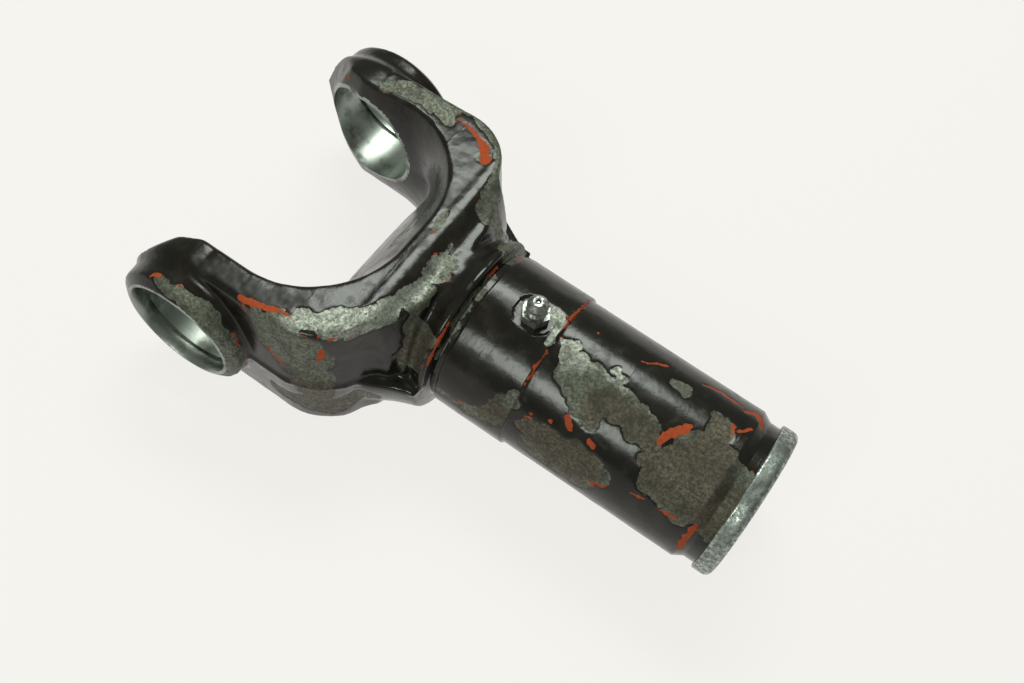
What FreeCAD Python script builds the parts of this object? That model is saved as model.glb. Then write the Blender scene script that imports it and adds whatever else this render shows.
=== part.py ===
import FreeCAD, Part

import math
import os
import re
import Sketcher

# Forged slip yoke of a truck driveline, with its grease fitting and its dust seal.
#
# Frame, in millimetres: the origin is the centre of the cross bore on the sleeve axis.
# +X runs along the sleeve to its open end, +Y along the cross bore, and +Z is the side
# with the grease fitting. The forging's parting plane is z = 0.

DOC = FreeCAD.newDocument("SlipYoke")
SHEET = DOC.addObject("Spreadsheet::Sheet", "Sizes")

# Driving sizes in millimetres and degrees; the second entry is a note for the sheet.
SIZES = {
    # what the fork is built round: the bearing cups and the snap rings that hold them
    "bore_radius": (17.4625, "cross bore"),
    "lockup_half": (53.2, "outer wall of a snap-ring groove from the centre"),
    "arm_inset": (2.9, "the arms' sides stand this far inside the grooves' outer walls"),
    # fork: the plan outline on the parting plane, mirrored in y
    "arm_half_width": ("=lockup_half - arm_inset", "outer side of an arm at the parting plane"),
    "shoulder_start": (33.0, "x where the arm's side turns in towards the neck"),
    "shoulder_radius": (22.0, "outer corner of the shoulder"),
    "neck_radius": (8.0, "hollow between shoulder and neck"),
    "shoulder_turn": (68.0, "degrees turned from the side to the shoulder's end"),
    "forging_draft": (6.0, "degrees of draft on the outer walls"),
    "flash_width": (0.8, "trimmed flash left standing at the parting plane"),
    "flash_height": (1.2, "thickness of the trimmed flash"),
    # fork: the side outline, mirrored in z
    "ear_wall": (6.9375, "an ear's rim stands this far round the bore"),
    "ear_radius": ("=bore_radius + ear_wall", "rim of an ear round the cross bore"),
    "root_rise": (4.4, "degrees that the top climbs from the ear to the root"),
    "crest_x": (49.5, "x of the top's highest place, the root's front ridge"),
    "crest_radius": (7.0, "rounding of the front ridge"),
    "valley_x": (58.5, "x of the lowest place between ridge and collar"),
    "valley_half_height": (25.6, "z of the top in the valley"),
    # fork: the throat, at the parting plane, at half height and above the top
    "ear_length": (19.3, "from the throat's wall to the outer wall of the groove"),
    "gap_half_width": ("=lockup_half - ear_length", "inner wall of an ear at the parting plane"),
    "throat_depth": (30.1, "x of the throat's bottom at the parting plane"),
    "throat_bow": (400.0, "radius of the throat's slightly bowed bottom"),
    "throat_corner": (6.0, "throat corner at the parting plane"),
    "mid_level": (16.0, "z of the middle outline"),
    "mid_widening": (1.2, "how far the wall stands back at the middle outline"),
    "mid_depth": (7.4, "how far the bottom stands back at the middle outline"),
    "mid_corner": (21.0, "throat corner at the middle outline"),
    "top_level": (30.0, "z of the upper outline"),
    "top_widening": (6.4, "how far the wall stands back at the upper outline"),
    "top_depth": (16.8, "how far the bottom stands back at the upper outline"),
    "top_corner": (36.0, "throat corner at the upper outline"),
    "flare_start": (3.0, "distance before the bore centre where the ear tips open out"),
    "flare_knee": (17.5, "distance before the bore centre of the flare's knee"),
    "flare_opening": (6.3, "opening at the knee"),
    "flare_end": ("=gap_half_width + 17.1", "y that the flare reaches beyond the ear"),
    "mid_flare_knee": (12.5, "the same knee at the middle outline"),
    "mid_flare_opening": (4.3, "opening there"),
    "mid_flare_end": ("=gap_half_width + 31.9", "y that the flare reaches beyond the ear"),
    "top_flare_knee": (6.0, "the same knee at the upper outline"),
    "top_flare_opening": (1.2, "opening there"),
    "top_flare_end": ("=gap_half_width + 53.1", "y that the flare reaches beyond the ear"),
    "edge_round": (2.0, "rounding of the arms' outer edges"),
    "throat_round": (2.5, "rounding of the throat's edges"),
    # ears: bosses, cross bores and snap-ring grooves
    "ring_shoulder": (3.9, "metal outside a snap-ring groove"),
    "face_half": ("=lockup_half + ring_shoulder", "y of the outer face beside the bore"),
    "face_land": (1.0, "flat width of the outer face round the bore"),
    "face_rise": (2.3, "how far the outer face stands out from the boss's rim"),
    "boss_rim_at": ("=face_half - face_rise", "y of the rim round an ear's outer face"),
    "boss_wall": (4.5375, "the boss stands this far round the bore"),
    "boss_radius": ("=bore_radius + boss_wall", "round boss on the outside of an ear"),
    "boss_draft": (3.0, "degrees of draft on the boss"),
    "boss_height": (4.5, "height of the boss"),
    "boss_foot_at": ("=boss_rim_at - boss_height", "y where the boss's side begins"),
    "boss_hollow": (2.5, "hollow between rim and boss"),
    "boss_hollow_radius": ("=boss_radius + 0.7", "radius where rim and hollow meet"),
    "boss_hollow_at": ("=boss_foot_at - 1.6", "y of that place"),
    "rim_round": (6.0, "rounding of the rim"),
    "rim_round_at": ("=boss_hollow_at - 4.1", "y where an ear's rim begins to round off"),
    "ring_groove_width": (1.8, "snap-ring groove"),
    "ring_groove_depth": (1.2, "snap-ring groove"),
    # sleeve, turned about x
    "shoulder_end": (53.6, "x where the shoulders' corners start to fall to the neck"),
    "shoulder_end_reach": (43.0, "radius of the shoulders' corners there"),
    "collar_foot_radius": (26.2, "round neck in the valley"),
    "collar_hollow": (9.0, "hollow rising to the collar"),
    "collar_round": (5.0, "rounding of the collar"),
    "collar_start": (63.2, "x where the forged collar rises"),
    "collar_end": (69.2, "x of the collar's cut face"),
    "collar_radius": (28.6, "forged collar"),
    "runout_radius": (25.0, "tool run-out between collar and sleeve"),
    "land_start": (72.2, "x where the fitting land begins"),
    "land_end": (96.6, "x of the step down to the sleeve"),
    "sleeve_radius": (25.25, "plain sleeve"),
    "land_step": (0.8, "step from the sleeve up to the fitting land"),
    "land_radius": ("=sleeve_radius + land_step", "fitting land"),
    "mouth_x": (165.4, "x of the sleeve's end face"),
    "spigot_length": (5.2, "narrow end that carries the dust seal"),
    "end_chamfer": (3.2, "length of the end chamfer"),
    "sleeve_end": ("=mouth_x - spigot_length - end_chamfer", "x where the end chamfer begins"),
    # splined bore
    "spline_teeth": (16.0, "teeth in the bore"),
    "spline_minor": (17.2, "radius to the teeth's tips"),
    "spline_major": (19.2, "radius to the bottom of the spaces"),
    "spline_space": (3.7, "width of one space"),
    "spline_blind_end": (58.0, "x of the bottom of the teeth"),
    "bore_bottom": (50.0, "x of the bottom of the blind bore"),
    "mouth_chamfer": (1.5, "lead-in at the mouth of the bore"),
    # grease fitting on the +Z side
    "fitting_x": (87.6, "x of the grease fitting"),
    "seat_depth": (0.75, "spot face below the land's top"),
    "seat_height": ("=land_radius - seat_depth", "z of the spot face under the fitting"),
    "seat_radius": (6.6, "spot face"),
    "hex_flats": (7.94, "across flats of the hexagon"),
    "hex_height": (2.9, "height of the hexagon"),
    "shank_radius": (3.1, "threaded shank"),
    "shank_length": (5.2, "threaded shank below the seat"),
    "shank_clearance": (0.05, "thread clearance in the tapped hole"),
    "head_radius": (3.25, "widest place of the nipple's head"),
    "nipple_neck": (2.35, "neck under the head"),
    "tip_radius": (1.65, "flat tip of the nipple"),
    "tip_land": (0.6, "depth of the hole in the tip above the ball's cone"),
    "tip_height": (8.3, "height of the tip above the seat"),
    "grease_hole": (0.8, "radius of the hole in the tip"),
    "spring_room": (1.55, "radius of the passage that holds ball and spring"),
    "grease_passage": (2.0, "radius of the hole through the sleeve wall"),
    "ball_radius": (1.35, "check ball"),
    "ball_clearance": (0.02, "gap between the ball and its cone"),
    "spring_wire": (0.2, "radius of the spring's wire"),
    "spring_turns": (5.0, "turns of the spring"),
    "ledge_height": (0.8, "staked ledge that holds the spring's foot"),
    # dust seal over the mouth
    "cap_overlap": (1.7, "how far the cap reaches over the spigot"),
    "cap_start": ("=mouth_x - cap_overlap", "x of the cap's open rim"),
    "cap_reach": (4.0, "how far the cap's face stands beyond the mouth"),
    "cap_end": ("=mouth_x + cap_reach", "x of the cap's face"),
    "cap_inset": (0.45, "the cap is this much smaller than the sleeve"),
    "cap_radius": ("=sleeve_radius - cap_inset", "outside of the cap"),
    "cap_corner": (2.2, "drawn corner of the cap"),
    "cap_wall": (1.4, "thickness of the cap's sheet"),
    "cap_press": (0.02, "gap between cap and spigot, a press fit"),
    "cap_window": ("=spline_major + 1.2", "radius of the hole in the cap's face"),
    "seal_inner": ("=spline_major + 0.2", "radius of the seal's wiping edge"),
    "seal_gap": (0.02, "gap round the seal"),
}

for row, (alias, (value, note)) in enumerate(SIZES.items(), start=1):
    SHEET.set("A%d" % row, str(value))
    SHEET.setAlias("A%d" % row, alias)
    SHEET.set("B%d" % row, note)
DOC.recompute()

ALIAS_WORD = re.compile(r"\b(%s)\b" % "|".join(sorted(SIZES, key=len, reverse=True)))


def bound(formula):
    """The formula with every size's name turned into a reference to the sheet."""
    return ALIAS_WORD.sub(r"Sizes.\1", str(formula))


def number(formula):
    """The formula's present value."""
    value = SHEET.evalExpression(ALIAS_WORD.sub(r"Sizes.\1", str(formula)))
    return float(getattr(value, "Value", value))


def plane(body, role):
    """One of the body's own origin planes, by its role."""
    return next(item for item in body.Origin.OriginFeatures if item.Role == role)


def new_sketch(body, name, role, offset=None):
    """A sketch on an origin plane, lifted along the plane's normal by a formula."""
    sketch = body.newObject("Sketcher::SketchObject", name)
    sketch.AttachmentSupport = (plane(body, role), [""])
    sketch.MapMode = "FlatFace"
    if offset is not None:
        sketch.setExpression("AttachmentOffset.Base.z", bound(offset))
    return sketch


def arc_between(start, end, radius):
    """The short arc from start to end; a positive radius turns left, a negative one right."""
    chord = end - start
    half = chord.Length / 2.0
    rise = math.sqrt(max(radius * radius - half * half, 0.0))
    left = FreeCAD.Vector(-chord.y, chord.x, 0).normalize()
    centre = start + chord * 0.5 + left * (rise if radius > 0 else -rise)
    middle = centre + (start + chord * 0.5 - centre).normalize() * abs(radius)
    if rise < 1e-9:
        middle = start + chord * 0.5 - left * radius
    return Part.Arc(start, middle, end)


def closed_outline(sketch, corners):
    """Draw a closed outline and drive every corner and radius from the sheet.

    Each corner is (x formula, y formula) or (x formula, y formula, radius formula); the
    radius makes an arc of the edge that leaves the corner, and "-" before it turns it right.
    """
    points = [FreeCAD.Vector(number(c[0]), number(c[1]), 0) for c in corners]
    first = sketch.GeometryCount
    for index, corner in enumerate(corners):
        start = points[index]
        end = points[(index + 1) % len(points)]
        if len(corner) == 3:
            arc = arc_between(start, end, number(corner[2]))
            sketch.addGeometry(arc, False)
        else:
            sketch.addGeometry(Part.LineSegment(start, end), False)

    def end_number(index, at_start):
        """Sketcher's number of an edge's end; arcs are stored anticlockwise."""
        corner = corners[index]
        if len(corner) == 3 and number(corner[2]) < 0:
            return 2 if at_start else 1
        return 1 if at_start else 2

    count = len(corners)
    for index, corner in enumerate(corners):
        edge = first + index
        before = first + (index - 1) % count
        sketch.addConstraint(Sketcher.Constraint(
            "Coincident", before, end_number((index - 1) % count, False),
            edge, end_number(index, True)))
        for kind, formula in (("DistanceX", corner[0]), ("DistanceY", corner[1])):
            value = number(formula)
            if abs(value) < 1e-9:
                axis = -2 if kind == "DistanceX" else -1
                sketch.addConstraint(Sketcher.Constraint(
                    "PointOnObject", edge, end_number(index, True), axis))
                continue
            place = sketch.addConstraint(Sketcher.Constraint(
                kind, -1, 1, edge, end_number(index, True), value))
            sketch.setExpression("Constraints[%d]" % place, bound(formula))
        if len(corner) == 3:
            radius = corner[2].lstrip("-")
            place = sketch.addConstraint(Sketcher.Constraint("Radius", edge, number(radius)))
            sketch.setExpression("Constraints[%d]" % place, bound(radius))


def circle(sketch, x, y, radius):
    """A circle with its centre and radius driven from the sheet."""
    centre = FreeCAD.Vector(number(x), number(y), 0)
    edge = sketch.addGeometry(Part.Circle(centre, FreeCAD.Vector(0, 0, 1), number(radius)), False)
    place = sketch.addConstraint(Sketcher.Constraint("Radius", edge, number(radius)))
    sketch.setExpression("Constraints[%d]" % place, bound(radius))
    for kind, formula in (("DistanceX", x), ("DistanceY", y)):
        value = number(formula)
        if abs(value) < 1e-9:
            axis = -2 if kind == "DistanceX" else -1
            sketch.addConstraint(Sketcher.Constraint("PointOnObject", edge, 3, axis))
            continue
        place = sketch.addConstraint(Sketcher.Constraint(kind, -1, 1, edge, 3, value))
        sketch.setExpression("Constraints[%d]" % place, bound(formula))


def prism(body, kind, name, sketch, length=None, sides="One side", reverse=False, draft=None):
    """A PartDesign Pad or Pocket; with no length it goes through everything."""
    feature = body.newObject("PartDesign::" + kind, name)
    feature.Profile = sketch
    feature.SideType = sides
    feature.Reversed = reverse
    if length is None:
        feature.Type = "ThroughAll"
    else:
        feature.Type = "Length"
        feature.setExpression("Length", bound(length))
    if draft is not None:
        feature.setExpression("TaperAngle", bound("-" + draft))
        feature.setExpression("TaperAngle2", bound("-" + draft))
    return feature


def turned(body, kind, name, sketch, axis):
    """A PartDesign Revolution or Groove of a full turn about one of the origin's axes."""
    feature = body.newObject("PartDesign::" + kind, name)
    feature.Profile = sketch
    feature.ReferenceAxis = (plane(body, axis), [""])
    feature.Angle = 360.0
    return feature


def mirrored(body, name, originals, role):
    """The originals and their mirror image in an origin plane."""
    feature = body.newObject("PartDesign::Mirrored", name)
    feature.Originals = originals
    feature.MirrorPlane = (plane(body, role), [""])
    body.Tip = feature
    return feature


def edges_where(feature, test):
    """Names of the feature's edges whose middle point passes the test."""
    names = []
    for index, edge in enumerate(feature.Shape.Edges, start=1):
        if test(edge.CenterOfMass, edge):
            names.append("Edge%d" % index)
    return names


def rounded(body, name, feature, test, radius):
    """A fillet on the edges of the body's last feature that pass the test."""
    DOC.recompute()
    names = edges_where(feature, test)
    fillet = body.newObject("PartDesign::Fillet", name)
    fillet.Base = (feature, names)
    fillet.setExpression("Radius", bound(radius))
    return fillet


def new_body(label):
    body = DOC.addObject("PartDesign::Body", "Body_" + label)
    body.Label = label
    return body


# ---------------------------------------------------------------- the forged yoke

def fork_plan(outside="0"):
    """Half of the plan outline, from the bore's centre to the collar, set out by a margin."""
    side = "arm_half_width + %s" % outside
    outer = "(shoulder_radius + %s)" % outside
    inner = "(neck_radius - %s)" % outside
    both = "(shoulder_radius + neck_radius)"
    return [
        ("shoulder_start", side, "-" + outer),
        ("shoulder_start + %s * sin(shoulder_turn)" % outer,
         "arm_half_width - shoulder_radius + %s * cos(shoulder_turn)" % outer, inner),
        ("shoulder_start + %s * sin(shoulder_turn)" % both,
         "%s - %s * (1 - cos(shoulder_turn))" % (side, both)),
    ]


NECK_SIDE = "arm_half_width - (shoulder_radius + neck_radius) * (1 - cos(shoulder_turn))"


def mirror_y(half):
    """The half outline (from -x to +x, above the axis) closed by its mirror image below."""
    lower = []
    for index in range(len(half) - 1, -1, -1):
        x, y = half[index][:2]
        corner = [x, "-(%s)" % y]
        if index > 0 and len(half[index - 1]) == 3:
            corner.append(half[index - 1][2])
        lower.append(tuple(corner))
    return list(half) + lower


def throat_outline(level):
    """Half of a throat outline, from beyond the ear's tip to the throat's bottom."""
    wall = "gap_half_width" + (" + %swidening" % level if level else "")
    bottom = "throat_depth" + (" + %sdepth" % level if level else "")
    corner = (level or "throat_") + "corner"
    return [
        ("-ear_radius - 6", level + "flare_end"),
        ("-%sflare_knee" % level, "%s + %sflare_opening" % (wall, level)),
        ("-flare_start", wall),
        ("%s - %s" % (bottom, corner), wall, "-" + corner),
        (bottom, "%s - %s" % (wall, corner), "throat_bow"),
    ]


def side_profile():
    """Upper half of the side outline: climbing top, front ridge, valley and neck."""
    top = "ear_radius / cos(root_rise) + (%s) * tan(root_rise)"
    ridge_in = "crest_x - crest_radius / 3"
    ridge_out = "crest_x + crest_radius * 2 / 3"
    return [
        ("0", top % "0"),
        (ridge_in, top % ridge_in, "-crest_radius"),
        (ridge_out, "valley_half_height + 1.3", "crest_radius"),
        ("valley_x", "valley_half_height"),
        ("collar_end", "valley_half_height"),
    ]


def ear_profile():
    """Radius and y of an ear's outside, revolved about the cross bore."""
    return [
        ("0", "gap_half_width - 8"),
        ("ear_radius", "gap_half_width - 8"),
        ("ear_radius", "rim_round_at", "rim_round"),
        ("boss_hollow_radius", "boss_hollow_at", "-boss_hollow"),
        ("boss_radius", "boss_foot_at"),
        ("boss_radius - (boss_rim_at - boss_foot_at) * tan(boss_draft)", "boss_rim_at"),
        ("bore_radius + face_land", "face_half"),
        ("0", "face_half"),
    ]


def sleeve_profile():
    """x and radius of the sleeve's outside, from inside the root to the mouth."""
    spigot = "cap_radius - cap_wall - cap_press"
    return [
        ("crest_x", "0"),
        ("crest_x", "collar_foot_radius - 4"),
        ("valley_x", "collar_foot_radius", "collar_hollow"),
        ("collar_start + 3.4", "collar_radius - 0.5", "-collar_round"),
        ("collar_end - 1.2", "collar_radius"),
        ("collar_end", "collar_radius - 0.4"),
        ("collar_end", "runout_radius"),
        ("land_start", "runout_radius"),
        ("land_start + 0.8", "land_radius"),
        ("land_end", "land_radius"),
        ("land_end", "sleeve_radius"),
        ("sleeve_end", "sleeve_radius"),
        ("sleeve_end + end_chamfer", spigot),
        ("mouth_x", spigot),
        ("mouth_x", "0"),
    ]


def rectangle(x0, y0, x1, y1):
    """Corners of a rectangle."""
    return [(x0, y0), (x1, y0), (x1, y1), (x0, y1)]


def make_yoke():
    body = new_body("yoke")

    # the arms and the root: a drafted blank trimmed to its side outline
    plan = new_sketch(body, "fork_plan", "XY_Plane")
    half = [("0", "arm_half_width")] + fork_plan() + [("collar_start", NECK_SIDE)]
    closed_outline(plan, mirror_y(half))
    prism(body, "Pad", "fork_blank", plan, "2 * top_level", "Symmetric", draft="forging_draft")

    side = new_sketch(body, "side_outline", "XZ_Plane")
    closed_outline(side, rectangle("-10", "-2 * top_level", "collar_end + 8", "2 * top_level"))
    closed_outline(side, mirror_y(side_profile()))
    trimmed = prism(body, "Pocket", "side_trim", side, sides="Symmetric")

    neck = new_sketch(body, "neck_outline", "XY_Plane")
    closed_outline(neck, [
        ("shoulder_end", "shoulder_end_reach"),
        ("valley_x + 2", "collar_radius"),
        ("collar_end + 2", "collar_radius"),
        ("collar_end + 2", "2 * arm_half_width"),
        ("shoulder_end", "2 * arm_half_width"),
    ])
    necked = turned(body, "Groove", "neck_turned", neck, "X_Axis")

    outer = rounded(body, "outer_edges", necked,
                    lambda c, edge: abs(c.z) > 24 and abs(c.y) > 28 and c.x < 45
                    and edge.Length > 5, "edge_round")

    # the ears: revolved about the cross bore
    ear = new_sketch(body, "ear_profile", "XY_Plane")
    closed_outline(ear, ear_profile())
    ear_far = turned(body, "Revolution", "ear", ear, "Y_Axis")
    ears = mirrored(body, "ears", [ear_far], "XZ_Plane")

    # trimmed flash left standing along the parting plane
    flash = new_sketch(body, "flash_plan", "XY_Plane")
    closed_outline(flash, mirror_y(
        [("-ear_radius - flash_width", "rim_round_at"),
         ("-boss_hollow_radius - flash_width", "boss_hollow_at + flash_width"),
         ("0", "arm_half_width + flash_width")]
        + fork_plan("flash_width")
        + [("collar_end", NECK_SIDE + " + flash_width / 2")]))
    prism(body, "Pad", "flash", flash, "flash_height", "Symmetric")

    # the throat: lofted from the parting plane to above the top, the same on both sides
    levels = [
        new_sketch(body, "throat_parting", "XY_Plane"),
        new_sketch(body, "throat_middle", "XY_Plane", "mid_level"),
        new_sketch(body, "throat_top", "XY_Plane", "top_level"),
    ]
    for sketch, level in zip(levels, ("", "mid_", "top_")):
        closed_outline(sketch, mirror_y(throat_outline(level)))
    throat = body.newObject("PartDesign::SubtractiveLoft", "throat_upper")
    throat.Profile = levels[0]
    throat.Sections = levels[1:]
    mirrored(body, "throat", [throat], "XY_Plane")

    # the cross bores and their snap-ring grooves
    bore = new_sketch(body, "cross_bore_outline", "XZ_Plane")
    circle(bore, "0", "0", "bore_radius")
    prism(body, "Pocket", "cross_bores", bore, sides="Symmetric")

    ring = new_sketch(body, "ring_groove_outline", "XY_Plane")
    closed_outline(ring, rectangle("bore_radius - 1", "lockup_half - ring_groove_width",
                                   "bore_radius + ring_groove_depth", "lockup_half"))
    ring_far = turned(body, "Groove", "ring_groove", ring, "Y_Axis")
    mirrored(body, "ring_grooves", [ring_far], "XZ_Plane")

    # the sleeve, with its collar, land and spigot
    sleeve = new_sketch(body, "sleeve_profile", "XY_Plane")
    closed_outline(sleeve, sleeve_profile())
    turned(body, "Revolution", "sleeve", sleeve, "X_Axis")

    # the splined bore
    blind = new_sketch(body, "bore_profile", "XY_Plane")
    closed_outline(blind, [
        ("bore_bottom", "0"),
        ("bore_bottom + 6", "spline_minor"),
        ("mouth_x - mouth_chamfer - 2", "spline_minor"),
        ("mouth_x", "spline_minor + mouth_chamfer + 2"),
        ("mouth_x", "0"),
    ])
    turned(body, "Groove", "blind_bore", blind, "X_Axis")

    space = new_sketch(body, "spline_space", "YZ_Plane", "mouth_x")
    closed_outline(space, rectangle("-spline_space / 2", "spline_minor - 1.5",
                                    "spline_space / 2", "spline_major"))
    first = prism(body, "Pocket", "spline", space, "mouth_x - spline_blind_end")
    splines = body.newObject("PartDesign::PolarPattern", "splines")
    splines.Originals = [first]
    splines.Axis = (plane(body, "X_Axis"), [""])
    splines.Angle = 360.0
    splines.setExpression("Occurrences", bound("spline_teeth"))
    body.Tip = splines

    # the fitting's spot face, tapped hole and grease passage
    spot = new_sketch(body, "spot_face_outline", "XY_Plane", "seat_height")
    circle(spot, "fitting_x", "0", "seat_radius")
    prism(body, "Pocket", "spot_face", spot, "6", reverse=True)
    tapped = new_sketch(body, "tapped_outline", "XY_Plane", "seat_height")
    circle(tapped, "fitting_x", "0", "shank_radius + shank_clearance")
    prism(body, "Pocket", "tapped_hole", tapped, "shank_length + 0.4")
    grease = new_sketch(body, "grease_outline", "XY_Plane", "seat_height")
    circle(grease, "fitting_x", "0", "grease_passage")
    prism(body, "Pocket", "grease_hole", grease, "seat_height - spline_minor + 3")
    return body


# ---------------------------------------------------------------- the dust seal

def make_seal_cap():
    """A drawn cap, open towards the yoke, with a round window for the shaft."""
    body = new_body("seal_cap")
    wall = new_sketch(body, "cap_profile", "XY_Plane")
    inside = "cap_radius - cap_wall"
    closed_outline(wall, [
        ("cap_start", inside),
        ("cap_end - cap_wall", inside),
        ("cap_end - cap_wall", "cap_window"),
        ("cap_end", "cap_window"),
        ("cap_end", "cap_radius - cap_corner", "cap_corner"),
        ("cap_end - cap_corner", "cap_radius"),
        ("cap_start", "cap_radius"),
    ])
    turned(body, "Revolution", "cap", wall, "X_Axis")
    return body


def make_seal_ring():
    """The wiping ring held between the sleeve's end face and the cap."""
    body = new_body("seal_ring")
    section = new_sketch(body, "seal_profile", "XY_Plane")
    near = "mouth_x + seal_gap"
    far = "cap_end - cap_wall - seal_gap"
    outside = "cap_radius - cap_wall - seal_gap"
    closed_outline(section, [
        (near, outside),
        (near, "cap_window + 0.6"),
        (near + " + 0.5", "seal_inner"),
        (near + " + 1.1", "seal_inner"),
        (far, "cap_window + 0.2"),
        (far, outside),
    ])
    turned(body, "Revolution", "seal", section, "X_Axis")
    return body


# ---------------------------------------------------------------- the grease fitting

BALL_HEIGHT = "tip_height - tip_land + grease_hole - (ball_radius + ball_clearance) * sqrt(2)"
COIL_RADIUS = "spring_room - spring_wire - 0.15"
LEDGE_TOP = "ledge_height - shank_length"


def set_on_seat(body):
    """Stand a body, built round its own z axis, on the yoke's spot face."""
    body.setExpression("Placement.Base.x", bound("fitting_x"))
    body.setExpression("Placement.Base.z", bound("seat_height"))


def make_grease_fitting():
    body = new_body("grease_fitting")
    hexagon = new_sketch(body, "hexagon", "XY_Plane")
    corner = "hex_flats / sqrt(3)"
    closed_outline(hexagon, [
        ("%s * cos(%d)" % (corner, angle), "%s * sin(%d)" % (corner, angle))
        for angle in (0, 60, 120, 180, 240, 300)
    ])
    prism(body, "Pad", "hex", hexagon, "hex_height")

    shape = new_sketch(body, "fitting_profile", "XZ_Plane")
    closed_outline(shape, [
        ("0", "-shank_length"),
        ("shank_radius - 0.5", "-shank_length"),
        ("shank_radius", "0.5 - shank_length"),
        ("shank_radius", "1"),
        ("shank_radius", "hex_height + 0.3"),
        ("nipple_neck", "hex_height + 0.9"),
        ("nipple_neck", "hex_height + 2"),
        ("head_radius", "hex_height + 2.9"),
        ("head_radius", "hex_height + 3.6"),
        ("tip_radius", "tip_height"),
        ("0", "tip_height"),
    ])
    turned(body, "Revolution", "nipple", shape, "Z_Axis")

    passage = new_sketch(body, "passage_profile", "XZ_Plane")
    closed_outline(passage, [
        ("0", "-shank_length - 1"),
        ("spring_room - 0.75", "-shank_length - 1"),
        ("spring_room - 0.75", LEDGE_TOP),
        ("spring_room", LEDGE_TOP),
        ("spring_room", "tip_height - tip_land - (spring_room - grease_hole)"),
        ("grease_hole", "tip_height - tip_land"),
        ("grease_hole", "tip_height + 1"),
        ("0", "tip_height + 1"),
    ])
    turned(body, "Groove", "passage", passage, "Z_Axis")
    set_on_seat(body)
    return body


def make_fitting_ball():
    body = new_body("fitting_ball")
    half = new_sketch(body, "ball_profile", "XZ_Plane")
    closed_outline(half, [
        ("0", BALL_HEIGHT + " - ball_radius", "ball_radius"),
        ("ball_radius", BALL_HEIGHT, "ball_radius"),
        ("0", BALL_HEIGHT + " + ball_radius"),
    ])
    turned(body, "Revolution", "ball", half, "Z_Axis")
    set_on_seat(body)
    return body


def make_fitting_spring():
    """A coil from the staked ledge up to the ball, which it holds in its cone."""
    body = new_body("fitting_spring")
    wire = new_sketch(body, "wire", "XZ_Plane")
    foot = LEDGE_TOP + " + spring_wire + ball_clearance"
    circle(wire, COIL_RADIUS, foot, "spring_wire")
    coil = body.newObject("PartDesign::AdditiveHelix", "coil")
    coil.Profile = wire
    coil.ReferenceAxis = (plane(body, "Z_Axis"), [""])
    coil.Mode = "height-turns-angle"
    reach = "sqrt((ball_radius + spring_wire + ball_clearance) ^ 2 - (%s) ^ 2)" % COIL_RADIUS
    coil.setExpression("Height", bound("%s - %s - (%s)" % (BALL_HEIGHT, reach, foot)))
    coil.setExpression("Turns", bound("spring_turns"))
    set_on_seat(body)
    return body


# ---------------------------------------------------------------- checks and files

MADE = {
    "yoke": make_yoke(),
    "seal_cap": make_seal_cap(),
    "seal_ring": make_seal_ring(),
    "grease_fitting": make_grease_fitting(),
    "fitting_ball": make_fitting_ball(),
    "fitting_spring": make_fitting_spring(),
}
DOC.recompute()

for item in DOC.Objects:
    if "Invalid" in item.State or "Error" in item.State:
        raise RuntimeError("%s is not valid: %s" % (item.Label, item.State))
os.makedirs("parts", exist_ok=True)
for node, body in MADE.items():
    if body.Shape.isNull() or not body.Shape.isValid():
        raise RuntimeError("%s has no valid shape" % node)
    body.Shape.exportStep(os.path.join("parts", node + ".step"))
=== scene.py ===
import itertools
import math

import bmesh
import bpy
import numpy as np
from mathutils import Matrix, Vector


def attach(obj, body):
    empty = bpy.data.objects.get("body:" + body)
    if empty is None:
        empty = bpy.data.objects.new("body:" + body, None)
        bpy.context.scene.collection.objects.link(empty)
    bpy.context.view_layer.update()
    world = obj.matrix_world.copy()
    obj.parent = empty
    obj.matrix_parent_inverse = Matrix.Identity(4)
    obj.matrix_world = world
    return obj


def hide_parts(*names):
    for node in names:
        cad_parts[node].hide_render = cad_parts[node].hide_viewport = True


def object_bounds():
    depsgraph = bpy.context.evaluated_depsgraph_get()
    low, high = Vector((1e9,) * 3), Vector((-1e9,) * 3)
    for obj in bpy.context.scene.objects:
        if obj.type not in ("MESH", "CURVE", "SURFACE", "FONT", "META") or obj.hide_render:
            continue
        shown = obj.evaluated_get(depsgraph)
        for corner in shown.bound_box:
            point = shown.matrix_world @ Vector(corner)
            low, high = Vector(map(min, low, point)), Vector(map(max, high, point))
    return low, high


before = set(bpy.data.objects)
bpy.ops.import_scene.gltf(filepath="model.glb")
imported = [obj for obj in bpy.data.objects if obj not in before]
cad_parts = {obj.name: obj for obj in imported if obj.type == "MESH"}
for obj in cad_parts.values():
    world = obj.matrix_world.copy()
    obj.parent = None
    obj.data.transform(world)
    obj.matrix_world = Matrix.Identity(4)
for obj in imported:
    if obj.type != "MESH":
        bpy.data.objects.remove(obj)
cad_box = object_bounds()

# Looks of a worn forged slip yoke. Lengths are millimetres until a mesh is finished,
# when keep() turns them into metres. The sleeve's axis is x and the cross bore's is y.

MM = 0.001

# ---------------------------------------------------------------- sizes, as in the CAD

BORE = 17.4625
FACE_HALF = 57.1
LOCKUP_HALF = 53.2
RING_GROOVE_WIDTH = 1.8
RING_GROOVE_DEPTH = 1.2
BORE_CHAMFER = 0.5

RUNOUT_RADIUS = 25.0
LAND_START = 72.2
LAND_END = 96.6
LAND_RADIUS = 26.05
SLEEVE_RADIUS = 25.25
SLEEVE_END = 157.0
END_CHAMFER = 3.2
MOUTH_X = 165.4
SPIGOT_RADIUS = 23.38
COLLAR_RADIUS = 28.2
COLLAR_X = 69.0
COLLAR_END = 69.2

# the neck below the parting plane, fuller than the CAD's
NECK_START = 62.0
NECK_REACH = 33.8
NECK_END_REACH = 31.2
NECK_HALF_HEIGHT = 25.6
NECK_INSIDE = 23.0

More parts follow.
